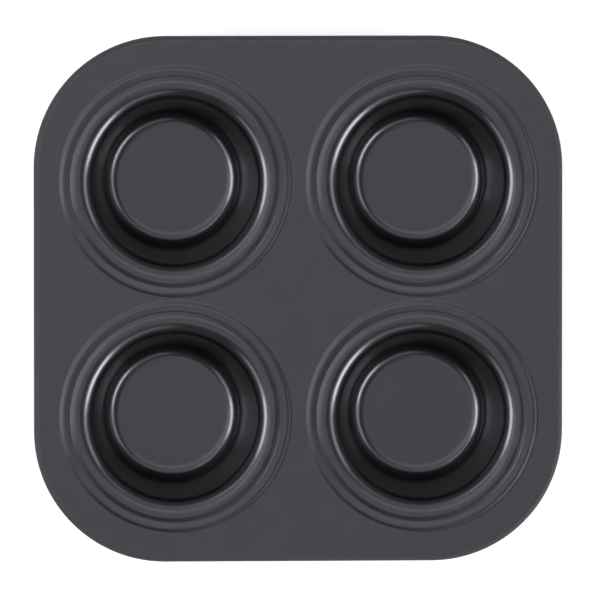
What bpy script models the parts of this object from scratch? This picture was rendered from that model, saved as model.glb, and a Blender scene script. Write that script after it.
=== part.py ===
"""Four-cup muffin pan: a wired plate and four drawn cups locked into its holes.

The plate lies in XY with its back edge towards +Y. The cups hang from it and
their floors stand on z = 0, so the pan rests on them. Lengths are in metres.
"""

import math

import bmesh
import bpy
from mathutils import Vector

MM = 0.001

# Sheet metal and the play between pieces
PLATE_SHEET = 0.6 * MM
CUP_SHEET = 0.5 * MM
FIT_GAP = 0.3 * MM

# Cup, on its inner face: a flat floor, a drafted wall, and a rolled bead at the mouth
CUP_DEPTH = 30.0 * MM
FLOOR_RADIUS = 24.2 * MM
MOUTH_RADIUS = 32.1 * MM
FLOOR_FILLET = 6.0 * MM
LIP_RADIUS = 6.4 * MM

# Bead of the cup: past its crest it slopes down to the plate and covers the hole's edge
BEAD_WIDTH = 7.8 * MM
BEAD_BEND = 5.0 * MM
BEAD_SLOPE = math.radians(18)

# Lock fold of the cup: the wall is pinched outwards under the plate
LOCK_REACH = 1.5 * MM
LOCK_LAYERS = 2

# Raised ring of the plate round each hole: a ledge that carries the bead, a low ridge
# past the bead's edge, and a slope down to the flat of the plate
LEDGE_RISE = 0.3 * MM
LEDGE_MARGIN = 0.7 * MM
RIDGE_RISE = 0.12 * MM
RIDGE_RUN = 1.5 * MM
RIDGE_WIDTH = 0.72 * MM
SLOPE_RUN = 1.1 * MM
RING_BEND = 2.0 * MM

# Flat of the plate between the rings, and from the rings to the edge
WEB_ACROSS = 4.6 * MM
WEB_ALONG = 0.2 * MM
MARGIN_ACROSS = 9.1 * MM
MARGIN_ALONG = 10.7 * MM
CORNER_RADIUS = 49.6 * MM

# Rim: the plate's edge is curled round a wire, whose ends meet at the back
WIRE_DIAMETER = 2.4 * MM
WIRE_END_GAP = 0.5 * MM
CURL_TURN = math.radians(290)

# Fineness of the round shapes
ROUND_STEPS = 36
CORNER_STEPS = 9
CURL_OUTER_STEPS = 10
CURL_INNER_STEPS = 8
FILLET_STEPS = 3
LIP_STEPS = 5
CROWN_STEPS = 2
HOLLOW_LIP_STEPS = 3
HOLLOW_SHOULDER_STEPS = 1
HOLLOW_CROWN_STEPS = 1
RING_BEND_STEPS = 2
HOLLOW_RING_BEND_STEPS = 1
LOCK_TIP_STEPS = 2
WIRE_BEVEL_STEPS = 2
WELD = 0.001 * MM
SMOOTH_ANGLE = math.radians(35)

# Wall, lip and bead of the cup. The lip's bend runs straight into the bead's
CREST_Z = CUP_SHEET + CUP_DEPTH
DRAFT = math.atan2(MOUTH_RADIUS - FLOOR_RADIUS, CUP_DEPTH)
LIP_TANGENT = LIP_RADIUS * math.tan((math.pi / 2 - DRAFT) / 2)
LIP_CENTRE = Vector((MOUTH_RADIUS + LIP_TANGENT, CREST_Z - LIP_RADIUS))
CROWN_RADIUS = LIP_CENTRE.x + BEAD_BEND * math.tan(BEAD_SLOPE / 2)
BEAD_RADIUS = MOUTH_RADIUS + BEAD_WIDTH
BEAD_DROP = (BEAD_RADIUS - CROWN_RADIUS) * math.tan(BEAD_SLOPE)

# Heights of the plate
LEDGE_Z = CREST_Z - BEAD_DROP - CUP_SHEET * math.cos(BEAD_SLOPE) - FIT_GAP
RIDGE_Z = LEDGE_Z + RIDGE_RISE
DECK_Z = LEDGE_Z - LEDGE_RISE

# Ring of the plate, from the bead's edge outwards
LEDGE_END = BEAD_RADIUS + LEDGE_MARGIN
RIDGE_START = LEDGE_END + RIDGE_RUN
RIDGE_END = RIDGE_START + RIDGE_WIDTH
SLOPE_END = RIDGE_END + SLOPE_RUN
SLOPE_ANGLE = math.atan2(RIDGE_Z - DECK_Z, SLOPE_RUN)
RING_FOOT = SLOPE_END + RING_BEND * math.tan(SLOPE_ANGLE / 2)

# Curl of the rim
CURL_RADIUS = WIRE_DIAMETER / 2 + FIT_GAP + PLATE_SHEET
CURL_CENTRE_Z = DECK_Z - CURL_RADIUS


def wall_radius(z, outwards):
    """Radius of the cup's wall at a height, on a face this far out from the inner one."""
    inner = FLOOR_RADIUS + (z - CUP_SHEET) * math.tan(DRAFT)
    return inner + outwards / math.cos(DRAFT)


def lip_angle(z, outwards):
    """Angle of a height on the lip's bend, from level, on a face this far out."""
    level = (z - LIP_CENTRE.y) / (LIP_RADIUS - outwards)
    return max(math.asin(min(level, 1)), DRAFT)


def cup_radius(z, outwards):
    """Radius of the cup's wall or, above the wall, of its lip, on a face this far out."""
    bend = LIP_RADIUS - outwards
    if z - LIP_CENTRE.y < bend * math.sin(DRAFT):
        return wall_radius(z, outwards)
    return LIP_CENTRE.x - bend * math.cos(lip_angle(z, outwards))


def hole_radius():
    """Radius of the plate's hole, which clears the hollow side of the cup's lip."""
    return cup_radius(LEDGE_Z, CUP_SHEET + FIT_GAP)


def arc(centre, radius, start, end, steps):
    """Points along an arc, both ends included. Angles turn from +X towards +Y."""
    angles = [start + (end - start) * i / steps for i in range(steps + 1)]
    return [centre + radius * Vector((math.cos(a), math.sin(a))) for a in angles]


def left_of(direction):
    return Vector((-direction.y, direction.x))


def face_of_sheet(corners, bends, offset, steps):
    """Outline of one face of a bent sheet.

    corners are the points of the sheet's middle line, bends the radii of that
    line at its inner corners, offset the distance of the face to its left, and
    steps the number of straights that stand for each bend. A corner whose bend
    is 0 stays a corner.
    """
    ahead = [(b - a).normalized() for a, b in zip(corners, corners[1:])]
    points = [corners[0] + left_of(ahead[0]) * offset]
    inner_corners = zip(corners[1:], ahead, ahead[1:], bends, steps)
    for corner, before, after, bend, count in inner_corners:
        turn = before.angle_signed(after)
        if not bend:
            outwards = (left_of(before) + left_of(after)).normalized()
            points.append(corner + outwards * offset / math.cos(turn / 2))
            continue
        side = -1 if turn > 0 else 1
        tangent = bend * math.tan(abs(turn) / 2)
        centre = corner - before * tangent + left_of(before) * bend * side
        start = math.atan2(-left_of(before).y * side, -left_of(before).x * side)
        points += arc(centre, bend - offset * side, start, start - turn, count)
    return points + [corners[-1] + left_of(ahead[-1]) * offset]


def cup_section():
    """Half section of a cup as (radius, z), from its inner floor round to its underside."""
    half = CUP_SHEET / 2
    floor_z = half
    crest_z = CREST_Z - half
    edge = Vector((BEAD_RADIUS, CREST_Z - BEAD_DROP))
    middle = [
        Vector((0, floor_z)),
        Vector((wall_radius(floor_z, half), floor_z)),
        Vector((wall_radius(crest_z, half), crest_z)),
        Vector((CROWN_RADIUS - half * math.tan(BEAD_SLOPE / 2), crest_z)),
        edge - half * Vector((math.sin(BEAD_SLOPE), math.cos(BEAD_SLOPE))),
    ]
    bends = [FLOOR_FILLET + half, LIP_RADIUS - half, BEAD_BEND - half]
    inner = face_of_sheet(middle, bends, half, [FILLET_STEPS, LIP_STEPS, CROWN_STEPS])
    foot = face_of_sheet(middle[:3], bends[:1], -half, [FILLET_STEPS])[:-1]
    bead = face_of_sheet(middle[2:], bends[2:], -half, [HOLLOW_CROWN_STEPS])[1:]
    below = hollow_lip(DRAFT, lip_angle(fold_low(), CUP_SHEET), HOLLOW_SHOULDER_STEPS)[:-1]
    above = hollow_lip(lip_angle(fold_top(), CUP_SHEET), math.pi / 2, HOLLOW_LIP_STEPS)[1:]
    return inner + (foot + below + lock_fold() + above + bead)[::-1]


def fold_top():
    """Height of the lock fold's upper side, which bears on the plate from below."""
    return LEDGE_Z - PLATE_SHEET - FIT_GAP


def fold_low():
    return fold_top() - LOCK_LAYERS * CUP_SHEET


def lock_fold():
    """Outline of the fold that holds the cup up against the plate, from its lower root."""
    low = fold_low()
    top = fold_top()
    thick = top - low
    reach = hole_radius() + LOCK_REACH
    tip = Vector((reach - thick / 2, low + thick / 2))
    return [
        Vector((cup_radius(low, CUP_SHEET), low)),
        *arc(tip, thick / 2, -math.pi / 2, math.pi / 2, LOCK_TIP_STEPS),
        Vector((cup_radius(top, CUP_SHEET), top)),
    ]


def hollow_lip(start, end, steps):
    """Under side of the lip between two of its angles, or nothing if they are the same."""
    if start == end:
        return []
    return arc(LIP_CENTRE, LIP_RADIUS - CUP_SHEET, math.pi - start, math.pi - end, steps)


def ring_section():
    """Section of the plate's raised ring, from its foot over the top, back underneath."""
    half = PLATE_SHEET / 2
    middle = [
        Vector((hole_radius(), LEDGE_Z - half)),
        Vector((LEDGE_END, LEDGE_Z - half)),
        Vector((RIDGE_START, RIDGE_Z - half)),
        Vector((RIDGE_END, RIDGE_Z - half)),
        Vector((SLOPE_END, DECK_Z - half)),
        Vector((RING_FOOT, DECK_Z - half)),
    ]
    bends = [0, 0, RING_BEND, RING_BEND]
    top = face_of_sheet(middle, bends, half, [RING_BEND_STEPS] * len(bends))
    under = face_of_sheet(middle, bends, -half, [HOLLOW_RING_BEND_STEPS] * len(bends))
    return top[::-1] + under


def curl_section():
    """Section of the curled rim as (distance past the flat, z), outer face first."""
    centre = Vector((0, CURL_CENTRE_Z))
    start = math.pi / 2
    end = start - CURL_TURN
    outer = arc(centre, CURL_RADIUS, start, end, CURL_OUTER_STEPS)
    inner = arc(centre, CURL_RADIUS - PLATE_SHEET, end, start, CURL_INNER_STEPS)
    return outer + inner


def cup_places():
    """Name and centre of each cup, from the back row to the front one."""
    across = RING_FOOT + WEB_ACROSS / 2
    along = RING_FOOT + WEB_ALONG / 2
    return {
        "cup_back_left": Vector((-across, along)),
        "cup_back_right": Vector((across, along)),
        "cup_front_left": Vector((-across, -along)),
        "cup_front_right": Vector((across, -along)),
    }


def corner_centre():
    """Centre of the plate's corner arc at +X +Y."""
    half_width = 2 * RING_FOOT + WEB_ACROSS / 2 + MARGIN_ACROSS
    half_length = 2 * RING_FOOT + WEB_ALONG / 2 + MARGIN_ALONG
    return Vector((half_width - CORNER_RADIUS, half_length - CORNER_RADIUS))


def finish(name, colour, roughness, metallic):
    """Principled material of one kind of piece. The colour is linear."""
    material = bpy.data.materials.new(name)
    material.use_nodes = True
    shader = material.node_tree.nodes["Principled BSDF"]
    shader.inputs["Base Color"].default_value = (*colour, 1)
    shader.inputs["Roughness"].default_value = roughness
    shader.inputs["Metallic"].default_value = metallic
    return material


def mesh_from(bm, name, material):
    """Closed mesh with its faces outwards, shaded smooth across its gentle edges."""
    bmesh.ops.remove_doubles(bm, verts=bm.verts, dist=WELD)
    bmesh.ops.recalc_face_normals(bm, faces=bm.faces)
    mesh = bpy.data.meshes.new(name)
    bm.to_mesh(mesh)
    bm.free()
    mesh.materials.append(material)
    mesh.shade_smooth()
    mesh.set_sharp_from_angle(angle=SMOOTH_ANGLE)
    return mesh


def add_object(name, data, place=Vector((0, 0))):
    piece = bpy.data.objects.new(name, data)
    piece.location = (place.x, place.y, 0)
    bpy.context.scene.collection.objects.link(piece)
    return piece


def chain(bm, section, start=Vector((0, 0))):
    """Edges joining the section's points, which stand in the XZ plane through start."""
    verts = [bm.verts.new((start.x + p.x, start.y, p.y)) for p in section]
    return [bm.edges.new(pair) for pair in zip(verts, verts[1:])]


def spin_ring(bm, section, centre=Vector((0, 0))):
    """Surface made by a full turn of the section about a vertical axis."""
    profile = chain(bm, section, centre)
    ends = {v for edge in profile for v in edge.verts}
    bmesh.ops.spin(
        bm,
        geom=[*ends, *profile],
        cent=(centre.x, centre.y, 0),
        axis=(0, 0, 1),
        angle=2 * math.pi,
        steps=ROUND_STEPS,
        use_merge=True,
    )


def sweep_rim(bm, section):
    """Surface made by taking the section round the plate: a turn and a straight, four times."""
    corner = corner_centre()
    radius = CORNER_RADIUS - CURL_RADIUS
    edges = chain(bm, section, Vector((corner.x + radius, corner.y)))
    centres = [(1, 1), (-1, 1), (-1, -1), (1, -1)]
    for i, (x, y) in enumerate(centres):
        here = Vector((x * corner.x, y * corner.y, 0))
        ahead = centres[(i + 1) % len(centres)]
        there = Vector((ahead[0] * corner.x, ahead[1] * corner.y, 0))
        ends = {v for edge in edges for v in edge.verts}
        turned = bmesh.ops.spin(
            bm,
            geom=[*ends, *edges],
            cent=here,
            axis=(0, 0, 1),
            angle=math.pi / 2,
            steps=CORNER_STEPS,
        )["geom_last"]
        last = [item for item in turned if isinstance(item, bmesh.types.BMEdge)]
        made = bmesh.ops.extrude_edge_only(bm, edges=last)["geom"]
        moved = [item for item in made if isinstance(item, bmesh.types.BMVert)]
        bmesh.ops.translate(bm, verts=moved, vec=there - here)
        edges = [item for item in made if isinstance(item, bmesh.types.BMEdge)]


def fill_flat(bm, level):
    """Fills the flat between the rim and the rings at one height."""
    open_edges = [
        edge
        for edge in bm.edges
        if edge.is_boundary and all(abs(v.co.z - level) < WELD for v in edge.verts)
    ]
    bmesh.ops.triangle_fill(bm, edges=open_edges, use_beauty=True, normal=(0, 0, 1))


def make_plate():
    """Plate with four raised rings and holes, its edge curled down round the wire."""
    bm = bmesh.new()
    sweep_rim(bm, curl_section())
    for place in cup_places().values():
        spin_ring(bm, ring_section(), place)
    bmesh.ops.remove_doubles(bm, verts=bm.verts, dist=WELD)
    for level in (DECK_Z, DECK_Z - PLATE_SHEET):
        fill_flat(bm, level)
    coating = finish("plate_coating", (0.064, 0.063, 0.071), 0.42, 0.35)
    add_object("top_plate", mesh_from(bm, "top_plate", coating))


def make_cups():
    """Four like cups, each its own object, on one mesh turned from the section."""
    bm = bmesh.new()
    spin_ring(bm, cup_section())
    coating = finish("cup_coating", (0.058, 0.057, 0.063), 0.38, 0.35)
    mesh = mesh_from(bm, "cup", coating)
    for name, place in cup_places().items():
        add_object(name, mesh, place)


def make_wire():
    """Wire inside the curl. It starts and ends at the middle of the back edge."""
    corner = corner_centre()
    radius = CORNER_RADIUS - CURL_RADIUS
    back_y = corner.y + radius
    half_gap = WIRE_END_GAP / 2
    points = [Vector((-half_gap, back_y))]
    quarter = math.pi / 2
    for i, (x, y) in enumerate([(-1, 1), (-1, -1), (1, -1), (1, 1)]):
        centre = Vector((x * corner.x, y * corner.y))
        start = quarter * (i + 1)
        points += arc(centre, radius, start, start + quarter, CORNER_STEPS)
    points.append(Vector((half_gap, back_y)))

    curve = bpy.data.curves.new("rim_wire", "CURVE")
    curve.dimensions = "3D"
    curve.twist_mode = "Z_UP"
    curve.bevel_depth = WIRE_DIAMETER / 2
    curve.bevel_resolution = WIRE_BEVEL_STEPS
    curve.use_fill_caps = True
    spline = curve.splines.new("POLY")
    spline.points.add(len(points) - 1)
    for target, point in zip(spline.points, points):
        target.co = (point.x, point.y, CURL_CENTRE_Z, 1)
    spline.use_smooth = True
    curve.materials.append(finish("wire_steel", (0.36, 0.35, 0.34), 0.45, 1.0))
    add_object("rim_wire", curve)


def main():
    for old in list(bpy.data.objects):
        bpy.data.objects.remove(old, do_unlink=True)
    make_plate()
    make_cups()
    make_wire()


main()
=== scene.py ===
# %% [markdown]
# # A four-cup muffin pan
#
# The real pan is thin steel sheet. One plate has four holes, a low ring pressed
# round each hole, and an outer edge that is curled down round a wire. Four drawn
# cups hang in the holes. Everything but the wire wears a dark non-stick coating.
#
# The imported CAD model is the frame: it fixes every size. This script dresses it.
# Each sheet is modelled again with finer bends, and the finishes, the light and
# the camera are made here. Lengths are in metres, and the pan stands on z = 0.

# %% Load the frame
import math

import bmesh
import bpy
from mathutils import Matrix, Vector


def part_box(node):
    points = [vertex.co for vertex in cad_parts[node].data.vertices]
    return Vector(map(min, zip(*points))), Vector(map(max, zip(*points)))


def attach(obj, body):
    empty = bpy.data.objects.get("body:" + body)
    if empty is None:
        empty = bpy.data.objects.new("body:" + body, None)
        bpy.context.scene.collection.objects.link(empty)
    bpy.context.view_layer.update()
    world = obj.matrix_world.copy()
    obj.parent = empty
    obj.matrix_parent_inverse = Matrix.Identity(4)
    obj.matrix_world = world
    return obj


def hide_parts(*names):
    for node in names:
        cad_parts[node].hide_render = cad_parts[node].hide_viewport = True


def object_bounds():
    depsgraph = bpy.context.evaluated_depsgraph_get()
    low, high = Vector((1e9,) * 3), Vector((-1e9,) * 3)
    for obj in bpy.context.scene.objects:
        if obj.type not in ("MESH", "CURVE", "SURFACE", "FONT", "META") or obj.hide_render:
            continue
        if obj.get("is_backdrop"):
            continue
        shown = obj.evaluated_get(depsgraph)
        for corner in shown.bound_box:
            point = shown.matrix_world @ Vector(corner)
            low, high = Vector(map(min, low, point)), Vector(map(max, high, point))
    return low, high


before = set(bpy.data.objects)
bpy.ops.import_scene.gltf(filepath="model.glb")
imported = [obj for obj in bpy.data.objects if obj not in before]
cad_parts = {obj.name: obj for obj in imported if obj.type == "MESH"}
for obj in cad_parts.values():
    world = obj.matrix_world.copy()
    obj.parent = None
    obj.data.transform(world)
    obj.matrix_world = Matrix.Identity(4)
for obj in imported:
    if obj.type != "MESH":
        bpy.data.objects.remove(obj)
MM = 0.001


def in_mm(lengths):
    """Lengths in millimetres, rounded for printing."""
    return [round(length / MM, 2) for length in lengths]


cad_low, cad_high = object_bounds()

# %% [markdown]
# ## Measures
#
# The frame's boxes give the places of the cups and the heights of the plate. The
# sheets' thicknesses and the play between the pieces are those of the CAD model.

# %% Measures from the frame
CUP_SHEET = 0.5 * MM
PLATE_SHEET = 0.6 * MM
FIT_GAP = 0.3 * MM
RIDGE_RISE = 0.12 * MM
LEDGE_RISE = 0.3 * MM
CORNER_RADIUS = 49.6 * MM
WIRE_RADIUS = 1.2 * MM

cup_names = ["cup_back_left", "cup_back_right", "cup_front_left", "cup_front_right"]
cup_places = {}
for name in cup_names:
    low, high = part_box(name)
    cup_places[name] = ((low.x + high.x) / 2, (low.y + high.y) / 2)
    bead_radius = (high.x - low.x) / 2
plate_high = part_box("top_plate")[1]
crest_z = cad_high.z
ridge_z = plate_high.z
ledge_z = ridge_z - RIDGE_RISE
deck_z = ledge_z - LEDGE_RISE
corner_x = plate_high.x - CORNER_RADIUS
corner_y = plate_high.y - CORNER_RADIUS
print("cups, mm:", {name: in_mm(spot) for name, spot in cup_places.items()})
print("bead and deck, mm:", in_mm([bead_radius, deck_z]))

# %% [markdown]
# ## The camera
#
# The photograph looks down on the pan from far away. The cup floors lie a little
# up and to the left of their mouths, so the camera stands behind the pan and to
# its left. A long lens at that distance keeps the plate's outline square. The
# Standard view shows each grey as the light gives it.

# %% Camera
EYE = Vector((-251, 220, 4131)) * MM
AIM = Vector((0.5, -0.4, 28.6)) * MM
SENSOR = 36
PHOTO_WIDTH = 226.5 * MM
NEAREST_SEEN = 0.1
FURTHEST_SEEN = 100

camera_data = bpy.data.cameras.new("camera")
camera_data.sensor_width = SENSOR
camera_data.lens = SENSOR * (EYE - AIM).length / PHOTO_WIDTH
camera_data.clip_start = NEAREST_SEEN
camera_data.clip_end = FURTHEST_SEEN
camera_data.dof.use_dof = False
camera = bpy.data.objects.new("camera", camera_data)
bpy.context.scene.collection.objects.link(camera)
bpy.context.scene.camera = camera

back = (EYE - AIM).normalized()
right = Vector((0, 1, 0)).cross(back).normalized()
turn = Matrix((right, back.cross(right), back)).transposed()
camera.matrix_world = Matrix.Translation(EYE) @ turn.to_4x4()
bpy.context.scene.view_settings.view_transform = "Standard"
print("lens, mm:", round(camera_data.lens, 1))

# %% [markdown]
# ## Working with nodes
#
# Every finish is a small tree of nodes. These helpers make an empty tree, add a
# node with its values filled in, and wire a finished shader to the tree's end.


# %% Node helpers
def new_material(name):
    """An empty node material and its tree."""
    material = bpy.data.materials.new(name)
    material.use_nodes = True
    material.node_tree.nodes.clear()
    return material, material.node_tree


def add_node(tree, kind, **settings):
    """A new node. Settings named like its sockets fill those, the others the node."""
    node = tree.nodes.new(kind)
    for key, value in settings.items():
        socket = node.inputs.get(key.replace("_", " "))
        if socket is None:
            setattr(node, key, value)
        else:
            socket.default_value = value
    return node


def show(tree, shader, kind="ShaderNodeOutputMaterial"):
    """Wires a shader to the output of its tree."""
    out = add_node(tree, kind)
    tree.links.new(shader.outputs[0], out.inputs["Surface"])


print("node helpers ready")

# %% [markdown]
# A tree also does sums. A socket carries a number or a place from node to node,
# so each helper here takes sockets and gives back the socket with the result.


# %% Sums on nodes
def reckon(tree, operation, first, second):
    """Plain arithmetic on two sockets, or on a socket and a number."""
    sum_node = add_node(tree, "ShaderNodeMath", operation=operation)
    for value, socket in zip((first, second), sum_node.inputs):
        if isinstance(value, float):
            socket.default_value = value
        else:
            tree.links.new(value, socket)
    return sum_node.outputs[0]


def carry(tree, value, start, end, low, high):
    """Carries a value softly from the range start to end over to low to high, and no further."""
    carried = add_node(
        tree, "ShaderNodeMapRange", interpolation_type="SMOOTHSTEP",
        From_Min=start, From_Max=end, To_Min=low, To_Max=high,
    )
    tree.links.new(value, carried.inputs["Value"])
    return carried.outputs[0]


def axes_of(tree, place):
    """The X, Y and Z of a place."""
    axes = add_node(tree, "ShaderNodeSeparateXYZ")
    tree.links.new(place, axes.inputs[0])
    return axes.outputs


def length_of(tree, place):
    """How far a place lies from zero."""
    reach = add_node(tree, "ShaderNodeVectorMath", operation="LENGTH")
    tree.links.new(place, reach.inputs[0])
    return reach.outputs["Value"]


print("helpers for sums ready")

# %% [markdown]
# ## Floor
#
# The floor is a large white sheet. It is plain white to the light that the pan
# throws on it, and a little brighter to the camera and in reflections, so that
# it reads as pure white there and still holds the pan's soft shadow. Further out,
# where the lamps don't reach, it is lifted to full white.

# %% Floor
FLOOR_WIDTH = 18.0
FLOOR_WHITE = 0.8
FLOOR_LIFT = 0.5
LIFT_START = 0.7
LIFT_END = 2.5
WHITE = (1, 1, 1, 1)


def seen_directly(tree):
    """A socket that is 1 to the camera, in reflections and through glass."""
    path = add_node(tree, "ShaderNodeLightPath").outputs
    either = reckon(tree, "MAXIMUM", path["Is Camera Ray"], path["Is Glossy Ray"])
    return reckon(tree, "MAXIMUM", either, path["Is Transmission Ray"])


paper, tree = new_material("white_floor")
place = add_node(tree, "ShaderNodeTexCoord").outputs["Object"]
far_off = add_node(
    tree, "ShaderNodeMapRange", From_Min=LIFT_START, From_Max=LIFT_END, To_Min=FLOOR_LIFT, To_Max=1
)
tree.links.new(length_of(tree, place), far_off.inputs["Value"])
lift = reckon(tree, "MULTIPLY", seen_directly(tree), far_off.outputs[0])
matt = add_node(tree, "ShaderNodeBsdfDiffuse", Color=(FLOOR_WHITE, FLOOR_WHITE, FLOOR_WHITE, 1))
glow = add_node(tree, "ShaderNodeEmission", Color=WHITE)
both = add_node(tree, "ShaderNodeAddShader")
tree.links.new(lift, glow.inputs["Strength"])
tree.links.new(matt.outputs[0], both.inputs[0])
tree.links.new(glow.outputs[0], both.inputs[1])
show(tree, both)

bpy.ops.object.select_all(action="DESELECT")
bpy.ops.mesh.primitive_plane_add(size=FLOOR_WIDTH, location=(0, 0, 0))
floor = bpy.context.object
floor.name = "floor"
floor.data.materials.append(paper)
floor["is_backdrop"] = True
print("floor, m wide:", FLOOR_WIDTH)

# %% [markdown]
# ## World
#
# The world is white to the camera. What the pan mirrors of it is a dim room with
# a white band at the horizon, which is where the white floor would run on.

# %% World
SKY = 0.2
BAND_TOP = 0.03
BAND_EDGE = 0.02

world = bpy.data.worlds.new("studio")
bpy.context.scene.world = world
world.use_nodes = True
tree = world.node_tree
tree.nodes.clear()
path = add_node(tree, "ShaderNodeLightPath").outputs
height = axes_of(tree, add_node(tree, "ShaderNodeTexCoord").outputs["Generated"])["Z"]
band = carry(tree, height, BAND_TOP + BAND_EDGE, BAND_TOP - BAND_EDGE, 0, 1)
mirrored = reckon(tree, "MAXIMUM", path["Is Glossy Ray"], path["Is Transmission Ray"])
mirrored_band = reckon(tree, "MULTIPLY", mirrored, band)
white_there = reckon(tree, "MAXIMUM", path["Is Camera Ray"], mirrored_band)
level = add_node(tree, "ShaderNodeMapRange", To_Min=SKY, To_Max=1)
sky = add_node(tree, "ShaderNodeBackground", Color=WHITE)
tree.links.new(white_there, level.inputs["Value"])
tree.links.new(level.outputs[0], sky.inputs["Strength"])
show(tree, sky, "ShaderNodeOutputWorld")
print("sky:", SKY)

# %% [markdown]
# ## Light
#
# A dark glossy thing is lit by what it mirrors. A softbox here is an area lamp
# that is given by where it stands, how wide it looks from the pan, and how bright
# its face is, where 1 is the brightness of a fully lit white sheet. A picture of a
# studio could light the pan as well, but a lamp can be moved by itself until its
# highlight lies where the photograph has it.

# %% Softboxes
LAMP_DISTANCE = 2.5


def towards(azimuth, elevation):
    """Direction from the pan. Azimuth 0 is +X and 90 is +Y, in degrees."""
    a, e = math.radians(azimuth), math.radians(elevation)
    return Vector((math.cos(a) * math.cos(e), math.sin(a) * math.cos(e), math.sin(e)))


def softbox(name, azimuth, elevation, half_width, half_height, brightness):
    """An area lamp square to the pan that spans these half angles, in degrees."""
    lamp = bpy.data.lights.new(name, "AREA")
    lamp.shape = "RECTANGLE"
    lamp.size = 2 * LAMP_DISTANCE * math.tan(math.radians(half_width))
    lamp.size_y = 2 * LAMP_DISTANCE * math.tan(math.radians(half_height))
    lamp.energy = math.pi * lamp.size * lamp.size_y * brightness
    piece = bpy.data.objects.new(name, lamp)
    bpy.context.scene.collection.objects.link(piece)
    way = towards(azimuth, elevation)
    piece.location = way * LAMP_DISTANCE
    piece.rotation_euler = (-way).to_track_quat("-Z", "Y").to_euler()
    piece.visible_camera = False


print("lamps stand off, m:", LAMP_DISTANCE)

# %% [markdown]
# Overhead hangs one broad soft light for the flats, with smaller ones round it for
# the tops of the rolls. Narrow and brighter ones at the left and the right draw the
# bright lines on the lips and round the floors, and weak ones stand behind the pan.
# Little light comes from the front, so the slopes that face it stay dark. Each line
# gives azimuth, elevation, half width, half height and brightness.

# %% Lamps
softbox("overhead_light", 150, 79, 30, 27, 0.61)
softbox("overhead_left_light", 165, 61, 15, 7, 0.8)
softbox("overhead_back_light", 92, 74, 22, 8, 0.5)
softbox("overhead_front_light", -78, 63, 14, 7, 0.38)
softbox("left_light", 180, 36, 15, 8.5, 8.5)
softbox("left_front_light", -150, 35, 14, 9, 2.1)
softbox("left_back_light", 140, 38, 18, 7, 1.8)
softbox("back_light", 75, 44, 35, 12, 0.65)
softbox("right_light", -30, 27.5, 14.5, 9.5, 10.5)
softbox("right_side_light", 5, 34, 18, 10, 2.4)
softbox("front_light", -65, 33, 17, 11, 0.9)

# %% [markdown]
# ## Patterns for the finishes
#
# No finish is the same all over. The patterns are worked out from the place on the
# pan in metres, so that a patch or a grain has its real size. A pattern is given by
# that size and by how many finer layers lie over it. Nearly all of its values lie
# in a narrow middle range, which is spread out to the values that it should have.

# %% Pattern helpers
PATTERN_LOW = 0.3
PATTERN_HIGH = 0.7


def clouds(tree, place, size, layers):
    """Soft patches about this size."""
    pattern = add_node(tree, "ShaderNodeTexNoise", Scale=1 / size, Detail=layers)
    tree.links.new(place, pattern.inputs["Vector"])
    return pattern.outputs["Fac"]


def spread(tree, pattern, low, high):
    """Spreads a pattern's middle range out to low to high."""
    return carry(tree, pattern, PATTERN_LOW, PATTERN_HIGH, low, high)


def add_up(tree, first, *others):
    """The sum of several sockets."""
    total = first
    for other in others:
        total = reckon(tree, "ADD", total, other)
    return total


def shades(tree, value, stops):
    """A colour for each value, blended between stops of (value, colour)."""
    ramp = add_node(tree, "ShaderNodeValToRGB")
    points = ramp.color_ramp.elements
    for i, (position, colour) in enumerate(stops):
        point = points[i] if i < len(points) else points.new(position)
        point.position = position
        point.color = (*colour, 1)
    tree.links.new(value, ramp.inputs[0])
    return ramp.outputs[0]


def put_together(tree, shader, colour, dullness, relief):
    """Wires a colour, a roughness and a relief in metres to a shader, and shows it."""
    bump = add_node(tree, "ShaderNodeBump", Strength=1, Distance=1)
    tree.links.new(relief, bump.inputs["Height"])
    tree.links.new(colour, shader.inputs["Base Color"])
    tree.links.new(dullness, shader.inputs["Roughness"])
    tree.links.new(bump.outputs[0], shader.inputs["Normal"])
    show(tree, shader)


print("middle range of a pattern:", PATTERN_LOW, PATTERN_HIGH)

# %% [markdown]
# ## Where the pan gets worn
#
# The coating is stretched thin and dull where the plate's edge is curled. It is
# rubbed in patches on top of the rolls, where pans are stacked, and under the
# floors, where the pan slides over the oven's rack.

# %% Worn places
CURL_RADIUS = WIRE_RADIUS + FIT_GAP + PLATE_SHEET
SWEEP_RADIUS = CORNER_RADIUS - CURL_RADIUS
DULL_WIDTH = 0.6 * MM
RUB_DEPTH = 0.12 * MM
RUB_PATCHES = (9 * MM, 4)
RUB_START = 0.5
RUB_FULL = 0.66


def on_curl(tree, place):
    """1 on the curled edge and 0 on the flat, by the distance from the corners' centres."""
    axes = axes_of(tree, place)
    outwards = add_node(tree, "ShaderNodeCombineXYZ")
    for i, corner in enumerate((corner_x, corner_y)):
        away = reckon(tree, "ABSOLUTE", axes[i], 0.0)
        beyond = reckon(tree, "SUBTRACT", away, corner)
        tree.links.new(reckon(tree, "MAXIMUM", beyond, 0.0), outwards.inputs[i])
    distance = length_of(tree, outwards.outputs[0])
    return carry(tree, distance, SWEEP_RADIUS, SWEEP_RADIUS + DULL_WIDTH, 0, 1)


def on_top_and_below(tree, place):
    """1 in patches on the rolls' crests and under the floors, and 0 elsewhere."""
    height = axes_of(tree, place)["Z"]
    top = carry(tree, height, crest_z - RUB_DEPTH, crest_z, 0, 1)
    below = carry(tree, height, RUB_DEPTH, 0, 0, 1)
    patches = carry(tree, clouds(tree, place, *RUB_PATCHES), RUB_START, RUB_FULL, 0, 1)
    return reckon(tree, "MULTIPLY", reckon(tree, "MAXIMUM", top, below), patches)


print("curled edge starts, mm beyond a corner's centre:", round(SWEEP_RADIUS / MM, 2))

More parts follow.
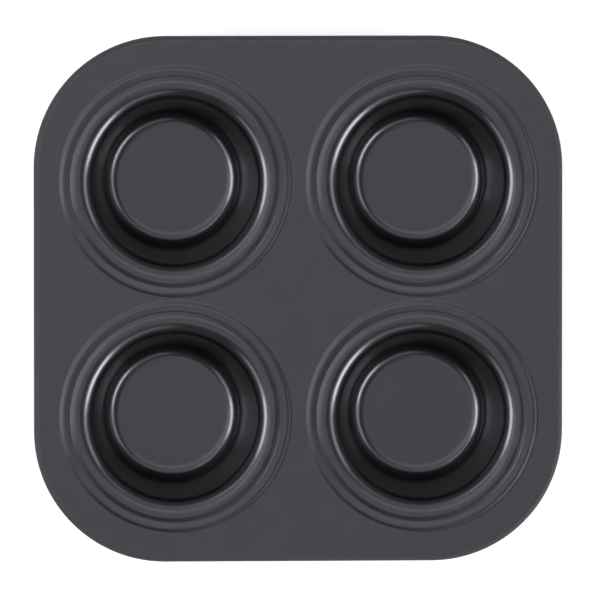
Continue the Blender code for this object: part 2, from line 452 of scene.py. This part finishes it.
# %% [markdown]
# ## The coating
#
# The coating is nearly black film that shines like enamel, and most of the grey
# that one sees on it is light mirrored from above. It was sprayed on, so it varies
# a little from patch to patch and has a fine grain. Its surface rolls very
# slightly, as the skin of an orange does, and the sheet under it isn't dead level.
# A picture of a coating could be laid on the pan instead, but a pattern that is
# worked out has no seams, and each cup gets a part of it to itself.

# %% Coating
BLACK_FILM = (0.0035, 0.0034, 0.0038)
DARKER_SHARE = 0.7
PALER_SHARE = 1.35
FILM_END = 0.6
RUBBED = (0.022, 0.022, 0.023)
COATING_IOR = 1.8
COATING_TINT = (0.915, 0.895, 1, 1)
MOTTLE = (11 * MM, 2)
MOTTLE_DULLING = 0.012
GRAIN = (0.45 * MM, 3)
GRAIN_DULLING = 0.004
GRAIN_HEIGHT = 0.0001 * MM
PEEL = (2.8 * MM, 1)
PEEL_HEIGHT = 0.0012 * MM
BUCKLES = (40 * MM, 0)
BUCKLE_HEIGHT = 0.012 * MM


def coating(name, roughness, worn, worn_roughness, worn_tone):
    """A dark sprayed film over steel, which is duller and takes another tone where worn."""
    material, tree = new_material(name)
    place = add_node(tree, "ShaderNodeTexCoord").outputs["Object"]
    mottle = clouds(tree, place, *MOTTLE)
    grain = clouds(tree, place, *GRAIN)
    wear = worn(tree, place)
    thickness = spread(tree, mottle, 0, FILM_END)
    tone = reckon(tree, "MAXIMUM", thickness, reckon(tree, "MULTIPLY", wear, worn_tone))
    darker = tuple(DARKER_SHARE * part for part in BLACK_FILM)
    paler = tuple(PALER_SHARE * part for part in BLACK_FILM)
    colour = shades(tree, tone, [(0, darker), (FILM_END, paler), (1, RUBBED)])
    dullness = add_up(
        tree,
        spread(tree, mottle, roughness - MOTTLE_DULLING, roughness + MOTTLE_DULLING),
        spread(tree, grain, -GRAIN_DULLING, GRAIN_DULLING),
        reckon(tree, "MULTIPLY", wear, worn_roughness),
    )
    relief = add_up(
        tree,
        reckon(tree, "MULTIPLY", clouds(tree, place, *BUCKLES), BUCKLE_HEIGHT),
        reckon(tree, "MULTIPLY", clouds(tree, place, *PEEL), PEEL_HEIGHT),
        reckon(tree, "MULTIPLY", grain, GRAIN_HEIGHT),
    )
    shader = add_node(
        tree, "ShaderNodeBsdfPrincipled", IOR=COATING_IOR, Specular_Tint=COATING_TINT
    )
    put_together(tree, shader, colour, dullness, relief)
    return material


plate_coating = coating(
    "plate_coating", roughness=0.25, worn=on_curl, worn_roughness=0.5, worn_tone=0.56
)
cup_coating = coating(
    "cup_coating", roughness=0.24, worn=on_top_and_below, worn_roughness=0.16, worn_tone=0.32
)
print("coatings:", plate_coating.name, cup_coating.name)

# %% [markdown]
# ## Bare steel
#
# The wire isn't coated. It is drawn steel, bright under a thin grey bloom, with
# pores and dull patches along it. One pattern serves both the bloom's colour and
# its dullness, so that the two keep together.

# %% Wire steel
STEEL = (0.50, 0.49, 0.47)
STEEL_ROUGHNESS = 0.3
BLOOM = (0.33, 0.32, 0.30)
BLOOM_ROUGHNESS = 0.45
BLOOM_PATCHES = (6 * MM, 4)
BLOOM_START = 0.35
BLOOM_FULL = 0.7
PORES = (0.3 * MM, 2)
PORE_DULLING = 0.04
PORE_HEIGHT = 0.004 * MM

wire_steel, tree = new_material("rim_wire_steel")
place = add_node(tree, "ShaderNodeTexCoord").outputs["Object"]
bloom = clouds(tree, place, *BLOOM_PATCHES)
pores = clouds(tree, place, *PORES)
dullness = add_up(
    tree,
    carry(tree, bloom, BLOOM_START, BLOOM_FULL, STEEL_ROUGHNESS, BLOOM_ROUGHNESS),
    spread(tree, pores, -PORE_DULLING, PORE_DULLING),
)
put_together(
    tree,
    add_node(tree, "ShaderNodeBsdfPrincipled", Metallic=1),
    colour=shades(tree, bloom, [(BLOOM_START, STEEL), (BLOOM_FULL, BLOOM)]),
    dullness=dullness,
    relief=reckon(tree, "MULTIPLY", pores, PORE_HEIGHT),
)
print("steel:", wire_steel.name)

# %% [markdown]
# ## Working by hand, in code
#
# Every piece of the pan is bent sheet. A modeller would draw the bent line of the
# sheet once, turn or carry it round to get a surface, and give that surface the
# sheet's thickness. The helpers here are those few moves. The first ones choose
# what the next move works on.

# %% Choosing what to work on
WELD = 0.002 * MM


def put_down_tools():
    """Back to object mode with nothing selected."""
    if bpy.context.mode != "OBJECT":
        bpy.ops.object.mode_set(mode="OBJECT")
    bpy.ops.object.select_all(action="DESELECT")


def pick_up(piece):
    """Selects one piece alone, in object mode."""
    put_down_tools()
    piece.select_set(True)
    bpy.context.view_layer.objects.active = piece


def open_up(piece):
    """Opens one piece for editing, with nothing in it selected."""
    pick_up(piece)
    bpy.ops.object.mode_set(mode="EDIT")
    bpy.ops.mesh.select_all(action="DESELECT")


def choose(piece, kind, test):
    """In edit mode, selects exactly the faces, edges or points that pass the test."""
    bpy.ops.mesh.select_mode(type=kind)
    bpy.ops.mesh.select_all(action="DESELECT")
    drawing = bmesh.from_edit_mesh(piece.data)
    items = {"VERT": drawing.verts, "EDGE": drawing.edges, "FACE": drawing.faces}[kind]
    chosen = [item for item in items if test(item)]
    for item in chosen:
        item.select_set(True)
    drawing.select_flush_mode()
    bmesh.update_edit_mesh(piece.data)
    return len(chosen)


print("weld distance, mm:", WELD / MM)

# %% [markdown]
# ## A bent line
#
# Sheet is never folded to a sharp corner. The line of a section is laid out by
# its corners, and each corner is then rounded with its own radius. A short flat
# is kept beside each bend where there is room for it, so that the shading of the
# flats stays level.

# %% Bent lines
SHORT_FLAT = 0.25 * MM
ROOM_FOR_FLATS = 3


def bent_line(corners, bends, steps, flat=SHORT_FLAT):
    """Points along a line of corners, each inner corner rounded to its bend radius."""
    corners = [Vector(corner) for corner in corners]
    stretches = [[corners[0]]]
    for before, corner, after, bend, count in zip(corners, corners[1:], corners[2:], bends, steps):
        way_in = (corner - before).normalized()
        turn = way_in.angle_signed(after - corner)
        start = corner - way_in * bend * math.tan(abs(turn) / 2)
        inwards = Vector((-way_in.y, way_in.x)) * (1 if turn < 0 else -1)
        centre = start + inwards * bend
        turns = [Matrix.Rotation(-turn * i / count, 2) for i in range(count + 1)]
        stretches.append([centre + part @ (start - centre) for part in turns])
    stretches.append([corners[-1]])
    points = list(stretches[0])
    for stretch in stretches[1:]:
        straight = stretch[0] - points[-1]
        if straight.length > ROOM_FOR_FLATS * flat:
            step = straight.normalized() * flat
            points += [points[-1] + step, stretch[0] - step]
        points += stretch
    return points


def draw(name, line, start=Vector((0, 0))):
    """A new piece that is one line: each point is (distance along +X from start, z)."""
    put_down_tools()
    bpy.ops.mesh.primitive_plane_add(size=MM, location=(0, 0, 0))
    piece = bpy.context.object
    piece.name = name
    piece.data.name = name
    bpy.ops.object.mode_set(mode="EDIT")
    bpy.ops.mesh.select_mode(type="VERT")
    bpy.ops.mesh.merge(type="CENTER")
    first = line[0]
    bpy.ops.transform.translate(value=(start.x + first.x, start.y, first.y))
    for here, there in zip(line, line[1:]):
        step = (there.x - here.x, 0, there.y - here.y)
        bpy.ops.mesh.extrude_vertices_move(TRANSFORM_OT_translate={"value": step})
    return piece


right_angle = bent_line([(0, 0), (1, 0), (1, 1)], bends=[0.5], steps=[4])
print("a right angle bent in 4 steps has", len(right_angle), "points")

# %% [markdown]
# ## From line to sheet
#
# A full turn of the line makes a round surface. Facing it up settles which side
# is the outside, and thickening it makes it sheet. The sheet's cut edges are its
# only sharp ones, and they are rounded a little.

# %% Surfaces and sheets
ROUND_STEPS = 144
CUT_EDGE_ANGLE = math.radians(50)


def turn_fully():
    """Spins the open piece's line a full turn about the Z axis, and closes the seam."""
    bpy.ops.mesh.select_all(action="SELECT")
    bpy.ops.mesh.spin(steps=ROUND_STEPS, angle=2 * math.pi, center=(0, 0, 0), axis=(0, 0, 1))
    bpy.ops.mesh.select_all(action="SELECT")
    bpy.ops.mesh.remove_doubles(threshold=WELD)


def face_up(piece, test):
    """Makes the normals agree, and turns them all if the faces that pass the test look down."""
    bpy.ops.mesh.select_all(action="SELECT")
    bpy.ops.mesh.normals_make_consistent(inside=False)
    drawing = bmesh.from_edit_mesh(piece.data)
    rise = sum(face.normal.z * face.calc_area() for face in drawing.faces if test(face))
    if rise < 0:
        bpy.ops.mesh.flip_normals()


def thicken(piece, thickness):
    """Gives the surface its sheet's thickness, on the side away from its normals."""
    pick_up(piece)
    wall = piece.modifiers.new("sheet", "SOLIDIFY")
    wall.thickness = thickness
    wall.offset = -1
    wall.use_even_offset = True
    bpy.ops.object.modifier_apply(modifier=wall.name)


def soften_edges(piece, width, steps):
    """Rounds the cut edges of the sheet."""
    worn = piece.modifiers.new("cut edges", "BEVEL")
    worn.limit_method = "ANGLE"
    worn.angle_limit = CUT_EDGE_ANGLE
    worn.width = width
    worn.segments = steps
    bpy.ops.object.modifier_apply(modifier=worn.name)


print("a full turn has", ROUND_STEPS, "steps")

# %% [markdown]
# What repeats is modelled once and copied. A copy gets a mesh of its own, and its
# place is put into that mesh, so that the finish's patterns differ from cup to cup.
# The bends are shaded smooth and the cut edges sharp.

# %% Copies and finishes
SMOOTH_BELOW = math.radians(35)
CM3 = 1e-6


def settle(piece):
    """Puts the piece's place into its mesh."""
    pick_up(piece)
    bpy.ops.object.transform_apply(location=True, rotation=True, scale=True)


def copy_to(piece, name, x, y):
    """A copy with a mesh of its own, moved to its place."""
    pick_up(piece)
    bpy.ops.object.duplicate(linked=False)
    copy = bpy.context.object
    copy.name = name
    copy.data.name = name
    bpy.ops.transform.translate(value=(x, y, 0))
    settle(copy)
    return copy


def throw_away(piece):
    """Removes a piece whose copies have taken its place."""
    pick_up(piece)
    bpy.ops.object.delete()


def smooth(piece, finish):
    """Shades the bends smooth and the cut edges sharp, and puts the finish on."""
    pick_up(piece)
    bpy.ops.object.shade_smooth_by_angle(angle=SMOOTH_BELOW)
    piece.data.materials.clear()
    piece.data.materials.append(finish)


def report(piece):
    """Prints a piece's size, and how many of its edges don't join two faces."""
    drawing = bmesh.new()
    drawing.from_mesh(piece.data)
    loose = sum(1 for edge in drawing.edges if not edge.is_manifold)
    volume = drawing.calc_volume(signed=True)
    drawing.free()
    print(piece.name, "mm:", in_mm(piece.dimensions), "faces:", len(piece.data.polygons))
    print("open edges:", loose, "steel, cm3:", round(volume / CM3, 2))


print("smooth below, degrees:", round(math.degrees(SMOOTH_BELOW)))

# %% [markdown]
# ## The cup
#
# A real cup is drawn from a disc of steel in a press. Its floor is flat, its foot
# is round, its wall leans outwards so that muffins come out, and its mouth is
# rolled over the edge of the plate's hole. The line is the cup's inner face, from
# the foot to the cut edge of the roll. The lip's wide bend runs straight into the
# roll's smaller one. A full turn makes the cup, and one round face closes its floor,
# so the line's first two points, at the middle of the floor, are left out. A
# cylinder could be widened ring by ring instead, but a line keeps every bend true
# to its radius.

# %% Cup
FLOOR_RADIUS = 24.6 * MM
MOUTH_RADIUS = 32.1 * MM
FOOT_BEND = 6.0 * MM
LIP_BEND = 6.4 * MM
BEAD_BEND = 5.0 * MM
CUP_BEND_STEPS = [16, 20, 8]
BEAD_SLOPE = math.radians(18)
MIDDLE_POINTS = 2
CUP_EDGE_ROUND = 0.2 * MM
CUP_EDGE_STEPS = 4
floor_below = 2 * CUP_SHEET
draft = math.atan2(MOUTH_RADIUS - FLOOR_RADIUS, crest_z - CUP_SHEET)
lip_end = MOUTH_RADIUS + LIP_BEND * math.tan((math.pi / 2 - draft) / 2)
crown_radius = lip_end + BEAD_BEND * math.tan(BEAD_SLOPE / 2)
bead_drop = (bead_radius - crown_radius) * math.tan(BEAD_SLOPE)

cup_line = bent_line(
    corners=[
        (0, CUP_SHEET),
        (FLOOR_RADIUS, CUP_SHEET),
        (MOUTH_RADIUS, crest_z),
        (crown_radius, crest_z),
        (bead_radius, crest_z - bead_drop),
    ],
    bends=[FOOT_BEND, LIP_BEND, BEAD_BEND],
    steps=CUP_BEND_STEPS,
)
cup = draw("cup", cup_line[MIDDLE_POINTS:])
turn_fully()
choose(cup, "EDGE", lambda edge: edge.is_boundary and edge.verts[0].co.z < floor_below)
bpy.ops.mesh.edge_face_add()
face_up(cup, lambda face: face.calc_center_median().z < floor_below)
thicken(cup, CUP_SHEET)
soften_edges(cup, CUP_EDGE_ROUND, CUP_EDGE_STEPS)
report(cup)

# %% [markdown]
# ## The lock fold
#
# Under the plate the cup's wall is pinched outwards, so that the plate is held
# between this fold and the roll above. Two cuts mark the band of wall that folds.
# The band's outer side is made plain and pulled out, and its two new edges are
# rounded. The photograph shows a plain wall inside the cup, so that side is left
# as it is.

# %% Lock fold
HOLE_RADIUS = 34.41 * MM
LOCK_REACH = 1.5 * MM
FOLD_ROUND = 0.4 * MM
FOLD_STEPS = 4
fold_top = ledge_z - PLATE_SHEET - FIT_GAP
fold_low = fold_top - 2 * CUP_SHEET
fold_radius = HOLE_RADIUS + LOCK_REACH

open_up(cup)
for height in (fold_low, fold_top):
    bpy.ops.mesh.select_all(action="SELECT")
    bpy.ops.mesh.bisect(plane_co=(0, 0, height), plane_no=(0, 0, 1), threshold=WELD)


def faces_out(face):
    """True for a face that looks away from the cup's axis."""
    middle = face.calc_center_median()
    return face.normal.x * middle.x + face.normal.y * middle.y > 0


def lies_level(edge):
    """True for an edge whose ends are at one height."""
    return abs(edge.verts[0].co.z - edge.verts[1].co.z) < WELD


def on_band(item, slack):
    """True for an outer face or edge that lies between the two cuts."""
    faces = item.link_faces if hasattr(item, "link_faces") else [item]
    heights = [v.co.z for v in item.verts]
    inside = fold_low - slack < min(heights) and max(heights) < fold_top + slack
    return inside and all(faces_out(face) for face in faces)


choose(cup, "EDGE", lambda edge: lies_level(edge) and on_band(edge, -WELD))
bpy.ops.mesh.dissolve_edges(use_verts=True)
band_faces = choose(cup, "FACE", lambda face: on_band(face, WELD))
bpy.ops.mesh.extrude_region_move()
drawing = bmesh.from_edit_mesh(cup.data)
pulled = {v.index: v.co.copy() for v in drawing.verts if v.select}
middle_z = (fold_low + fold_top) / 2
for upper in (False, True):
    ring = {i for i, spot in pulled.items() if (spot.z > middle_z) == upper}
    choose(cup, "VERT", lambda v: v.index in ring)
    grow = fold_radius / max(pulled[i].xy.length for i in ring)
    bpy.ops.transform.resize(value=(grow, grow, 1), center_override=(0, 0, 0))
choose(
    cup,
    "EDGE",
    lambda edge: lies_level(edge)
    and fold_low - WELD < edge.verts[0].co.z < fold_top + WELD
    and all(abs(v.co.xy.length - fold_radius) < WELD for v in edge.verts),
)
bpy.ops.mesh.bevel(offset=FOLD_ROUND, segments=FOLD_STEPS, affect="EDGES")
put_down_tools()
print("faces in the band:", band_faces)
report(cup)

# %% [markdown]
# The cup is copied to its four places, each copy with a mesh of its own, and the
# first cup is put away.

# %% Four cups
cups = []
for name, (x, y) in cup_places.items():
    copy = copy_to(cup, name + "_sheet", x, y)
    smooth(copy, cup_coating)
    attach(copy, "root")
    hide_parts(name)
    cups.append(copy)
throw_away(cup)
print("cups:", [piece.name for piece in cups])

# %% [markdown]
# ## The plate
#
# The plate's edge is curled down and under, round a wire. Its line is carried
# round the plate: through a quarter turn at each corner and along each straight
# side. The line starts a little way in on the flat, so that the bend's shading
# doesn't run out over the flat. A bevelled box could give the outline, but not an
# edge that turns back under itself.

# %% Rim
CORNER_STEPS = 32
CURL_TURN = 290
CURL_STEPS = 36
FLAT_BEFORE_CURL = 0.5 * MM
curl_z = deck_z - CURL_RADIUS


def carry_round(first_corner, last_straight):
    """Carries the selected line round the plate: four quarter turns with straights between."""
    quarters = [(1, 1), (-1, 1), (-1, -1), (1, -1)]
    centres = [Vector((x * corner_x, y * corner_y, 0)) for x, y in quarters]
    last_corner = first_corner + 3
    for i in range(first_corner, last_corner + 1):
        here = centres[i % 4]
        there = centres[(i + 1) % 4]
        bpy.ops.mesh.spin(steps=CORNER_STEPS, angle=-math.pi / 2, center=here, axis=(0, 0, 1))
        along = there - here if i < last_corner else last_straight
        bpy.ops.mesh.extrude_region_move(TRANSFORM_OT_translate={"value": along})


curl_line = [Vector((-FLAT_BEFORE_CURL, deck_z))]
for i in range(CURL_STEPS + 1):
    angle = math.radians(90 - CURL_TURN * i / CURL_STEPS)
    curl_line.append(Vector((math.cos(angle), math.sin(angle))) * CURL_RADIUS + Vector((0, curl_z)))
plate = draw("top_plate_sheet", curl_line, Vector((corner_x + SWEEP_RADIUS, corner_y)))
bpy.ops.mesh.select_all(action="SELECT")
carry_round(0, Vector((0, 2 * corner_y, 0)))
bpy.ops.mesh.select_all(action="SELECT")
bpy.ops.mesh.remove_doubles(threshold=WELD)
put_down_tools()
print("points in the rim:", len(plate.data.vertices))

# %% [markdown]
# Each hole has a level ledge that carries the cup's roll, then a low ridge, then
# a soft slope down to the flat. One ring is turned and copied to the four holes,
# and the copies are joined to the rim, because all this is one sheet.

# %% Rings
LEDGE_END = 40.0 * MM
RIDGE_START = 41.9 * MM
RIDGE_END = 42.45 * MM
SLOPE_END = 43.95 * MM
RING_FOOT = 44.32 * MM
RIDGE_CROWN = 0.1 * MM
RING_BENDS = [8 * MM, 3 * MM, 2 * MM, 2 * MM]
RING_BEND_STEPS = [6, 4, 6, 6]
RING_FLAT = 0.05 * MM

ring_line = bent_line(
    corners=[
        (HOLE_RADIUS, ledge_z),
        (LEDGE_END, ledge_z),
        (RIDGE_START, ridge_z + RIDGE_CROWN),
        (RIDGE_END, ridge_z + RIDGE_CROWN),
        (SLOPE_END, deck_z),
        (RING_FOOT, deck_z),
    ],
    bends=RING_BENDS,
    steps=RING_BEND_STEPS,
    flat=RING_FLAT,
)
ring = draw("ring", ring_line)
turn_fully()
rings = [copy_to(ring, "ring_copy", x, y) for x, y in cup_places.values()]
throw_away(ring)
for copy in rings:
    copy.select_set(True)
plate.select_set(True)
bpy.context.view_layer.objects.active = plate
bpy.ops.object.join()
print("points in a ring's line:", len(ring_line))

# %% [markdown]
# The flat between the rim and the rings is filled in one go. Only then is the
# whole surface thickened, so that the plate is one sheet.

# %% Flat of the plate
PLATE_EDGE_ROUND = 0.1 * MM
PLATE_EDGE_STEPS = 2
NEARLY_LEVEL = 0.99


def on_flat(face):
    """True for a level face of the plate's flat, or above it."""
    return abs(face.normal.z) > NEARLY_LEVEL and face.calc_center_median().z > deck_z - WELD


open_up(plate)
bordering = choose(
    plate,
    "EDGE",
    lambda edge: edge.is_boundary and all(abs(v.co.z - deck_z) < WELD for v in edge.verts),
)
bpy.ops.mesh.fill(use_beauty=True)
face_up(plate, on_flat)
thicken(plate, PLATE_SHEET)
soften_edges(plate, PLATE_EDGE_ROUND, PLATE_EDGE_STEPS)
smooth(plate, plate_coating)
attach(plate, "root")
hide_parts("top_plate")
print("edges round the flat:", bordering)
report(plate)

# %% [markdown]
# ## The wire
#
# The wire stiffens the rim. It is one steel wire, bent to the plate's outline
# and laid in the curl. Its two ends meet at the middle of the back edge, and its
# round outline is carried from the one to the other and then closed. A curve with
# a round bevel would do as well, but this way the wire keeps to the curl's path.

# %% Wire
WIRE_GAP = 0.5 * MM
WIRE_SIDES = 20

put_down_tools()
bpy.ops.mesh.primitive_circle_add(
    vertices=WIRE_SIDES,
    radius=WIRE_RADIUS,
    fill_type="NOTHING",
    location=(-WIRE_GAP / 2, corner_y + SWEEP_RADIUS, curl_z),
    rotation=(0, math.pi / 2, 0),
)
wire = bpy.context.object
wire.name = "rim_wire_steel"
wire.data.name = wire.name
settle(wire)
open_up(wire)
bpy.ops.mesh.select_mode(type="VERT")
bpy.ops.mesh.select_all(action="SELECT")
to_corner = Vector((-corner_x + WIRE_GAP / 2, 0, 0))
bpy.ops.mesh.extrude_region_move(TRANSFORM_OT_translate={"value": to_corner})
carry_round(1, to_corner)
bpy.ops.mesh.select_all(action="SELECT")
bpy.ops.mesh.fill_holes(sides=0)
bpy.ops.mesh.select_all(action="SELECT")
bpy.ops.mesh.normals_make_consistent(inside=False)
smooth(wire, wire_steel)
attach(wire, "root")
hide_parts("rim_wire")
report(wire)

# %% [markdown]
# ## Sizes
#
# The box that the dressed pan fills is printed. The dressed pan must not outgrow the
# CAD model.

# %% Sizes
low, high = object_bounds()
print("visual box, mm:", [in_mm(corner) for corner in (low, high)])
